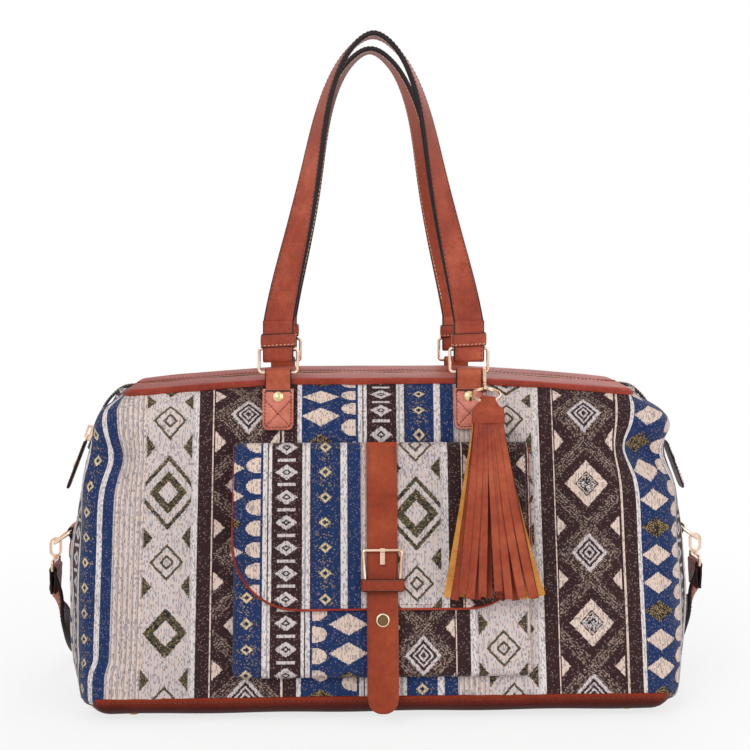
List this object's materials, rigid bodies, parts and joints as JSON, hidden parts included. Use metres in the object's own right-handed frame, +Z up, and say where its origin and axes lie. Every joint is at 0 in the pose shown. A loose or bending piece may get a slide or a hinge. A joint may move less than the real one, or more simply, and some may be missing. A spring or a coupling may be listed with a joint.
{
  "type": "travel bag",
  "caption": "Soft travel bag with patterned fabric sides, leather base and strips, two upright strap handles, a flap pocket, a tassel charm and a shoulder strap.",
  "frame": {"origin": "bottom centre of the bag, on the floor under its feet", "axes": "+Z up, the front with the pocket faces -Y, +X to the right as seen from the front"},
  "size_m": [0.5638, 0.2439, 0.5516],
  "materials": {
    "jacquard_fabric": "woven jacquard with bands of diamonds and stripes",
    "tan_leather": "cognac leather with black painted edges",
    "dark_leather": "dark brown leather",
    "tassel_leather": "soft cognac leather strips with ochre backs",
    "stiffener_board": "plain board",
    "zip_fabric": "navy zip tape",
    "brass": "polished brass",
    "pale_gold": "polished pale gold plating"
  },
  "bodies": {
    "bag": {"back_panel": "jacquard_fabric", "base_board": "stiffener_board", "base_panel": "tan_leather", "buckle_frame": "pale_gold", "feet": "brass", "flap_piping": "tan_leather", "flap_strap": "tan_leather", "front_panel": "jacquard_fabric", "handle_tab_back_left": "tan_leather", "handle_tab_back_right": "tan_leather", "handle_tab_front_left": "tan_leather", "handle_tab_front_right": "tan_leather", "pocket_body": "jacquard_fabric", "pocket_flap": "jacquard_fabric", "shoulder_strap": "tan_leather", "side_tab_left": "tan_leather", "side_tab_right": "tan_leather", "snap_cap": "brass", "snap_socket": "brass", "strap_keeper": "tan_leather", "tab_rivets": "brass", "top_band_back": "tan_leather", "top_band_front": "tan_leather", "zip_end_tab": "dark_leather", "zip_tape": "zip_fabric", "zip_teeth": "brass"},
    "rings_front": {"ring_front_left": "pale_gold", "ring_front_right": "pale_gold"},
    "rings_back": {"ring_back_left": "pale_gold", "ring_back_right": "pale_gold"},
    "handle_front": {"handle_front": "tan_leather", "handle_keeper_front_left": "tan_leather", "handle_keeper_front_right": "tan_leather"},
    "handle_back": {"handle_back": "tan_leather", "handle_keeper_back_left": "tan_leather", "handle_keeper_back_right": "tan_leather"},
    "charm_clasp": {"charm_clasp": "pale_gold"},
    "charm_gate": {"charm_gate": "pale_gold"},
    "split_ring": {"split_ring": "pale_gold"},
    "tassel": {"tassel_head": "tassel_leather", "tassel_fringe": "tassel_leather"},
    "zip_slider": {"zip_slider": "pale_gold"},
    "zip_pull": {"zip_pull": "dark_leather", "zip_pull_rivet": "pale_gold"},
    "buckle_prong": {"buckle_prong": "pale_gold"},
    "d_ring_left": {"d_ring_left": "pale_gold"},
    "d_ring_right": {"d_ring_right": "pale_gold"},
    "snap_hook_left": {"snap_hook_left": "pale_gold"},
    "snap_hook_right": {"snap_hook_right": "pale_gold"},
    "snap_gate_left": {"snap_gate_left": "pale_gold"},
    "snap_gate_right": {"snap_gate_right": "pale_gold"}
  },
  "joints": [
    {"name": "rings_front_fall", "type": "hinge", "parent": "bag", "child": "rings_front", "pos_m": [-0.0055, -0.05758, 0.27], "axis": [1, 0, 0], "range_deg": [-3, 90]},
    {"name": "rings_back_fall", "type": "hinge", "parent": "bag", "child": "rings_back", "pos_m": [-0.0055, 0.05758, 0.27], "axis": [-1, 0, 0], "range_deg": [-3, 90]},
    {"name": "handle_front_fall", "type": "hinge", "parent": "rings_front", "child": "handle_front", "pos_m": [-0.0055, -0.05758, 0.2896], "axis": [1, 0, 0], "range_deg": [-3, 50]},
    {"name": "handle_back_fall", "type": "hinge", "parent": "rings_back", "child": "handle_back", "pos_m": [-0.0055, 0.05758, 0.2896], "axis": [-1, 0, 0], "range_deg": [-3, 70]},
    {"name": "charm_swing", "type": "hinge", "parent": "bag", "child": "charm_clasp", "pos_m": [0.0856, -0.05758, 0.27], "axis": [1, 0, 0], "range_deg": [-80, 0]},
    {"name": "charm_gate_open", "type": "hinge", "parent": "charm_clasp", "child": "charm_gate", "pos_m": [0.0856, -0.06321, 0.26229], "axis": [-1, 0, 0], "range_deg": [0, 10], "stiffness_Nm_per_rad": 0.004},
    {"name": "split_ring_swing", "type": "hinge", "parent": "charm_clasp", "child": "split_ring", "pos_m": [0.0856, -0.06466, 0.25667], "axis": [1, 0, 0], "range_deg": [-30, 0]},
    {"name": "tassel_swing", "type": "hinge", "parent": "split_ring", "child": "tassel", "pos_m": [0.0856, -0.08549, 0.24912], "axis": [1, 0, 0], "range_deg": [-40, 0]},
    {"name": "zip_slide", "type": "slide", "parent": "bag", "child": "zip_slider", "axis": [0.3524, 0, 0.9358], "range_m": [0, 0.028]},
    {"name": "zip_pull_lift", "type": "hinge", "parent": "zip_slider", "child": "zip_pull", "pos_m": [-0.24918, 0, 0.21155], "axis": [0, 1, 0], "range_deg": [0, 110]},
    {"name": "buckle_prong_lift", "type": "hinge", "parent": "bag", "child": "buckle_prong", "pos_m": [0, -0.10087, 0.133], "axis": [-1, 0, 0], "range_deg": [0, 100]},
    {"name": "d_ring_left_swing", "type": "hinge", "parent": "bag", "child": "d_ring_left", "pos_m": [-0.26135, 0, 0.13122], "axis": [0, 1, 0], "range_deg": [-3, 0]},
    {"name": "d_ring_right_swing", "type": "hinge", "parent": "bag", "child": "d_ring_right", "pos_m": [0.26135, 0, 0.13122], "axis": [0, -1, 0], "range_deg": [-3, 0]},
    {"name": "snap_hook_left_rock", "type": "hinge", "parent": "bag", "child": "snap_hook_left", "pos_m": [-0.27666, 0, 0.09808], "axis": [0, 1, 0], "range_deg": [-1.5, 1.5]},
    {"name": "snap_hook_right_rock", "type": "hinge", "parent": "bag", "child": "snap_hook_right", "pos_m": [0.27666, 0, 0.09808], "axis": [0, -1, 0], "range_deg": [-1.5, 1.5]},
    {"name": "snap_gate_left_open", "type": "hinge", "parent": "snap_hook_left", "child": "snap_gate_left", "pos_m": [-0.28091, 0, 0.11348], "axis": [0, 1, 0], "range_deg": [0, 12], "stiffness_Nm_per_rad": 0.004},
    {"name": "snap_gate_right_open", "type": "hinge", "parent": "snap_hook_right", "child": "snap_gate_right", "pos_m": [0.28091, 0, 0.11348], "axis": [0, -1, 0], "range_deg": [0, 12], "stiffness_Nm_per_rad": 0.004}
  ]
}
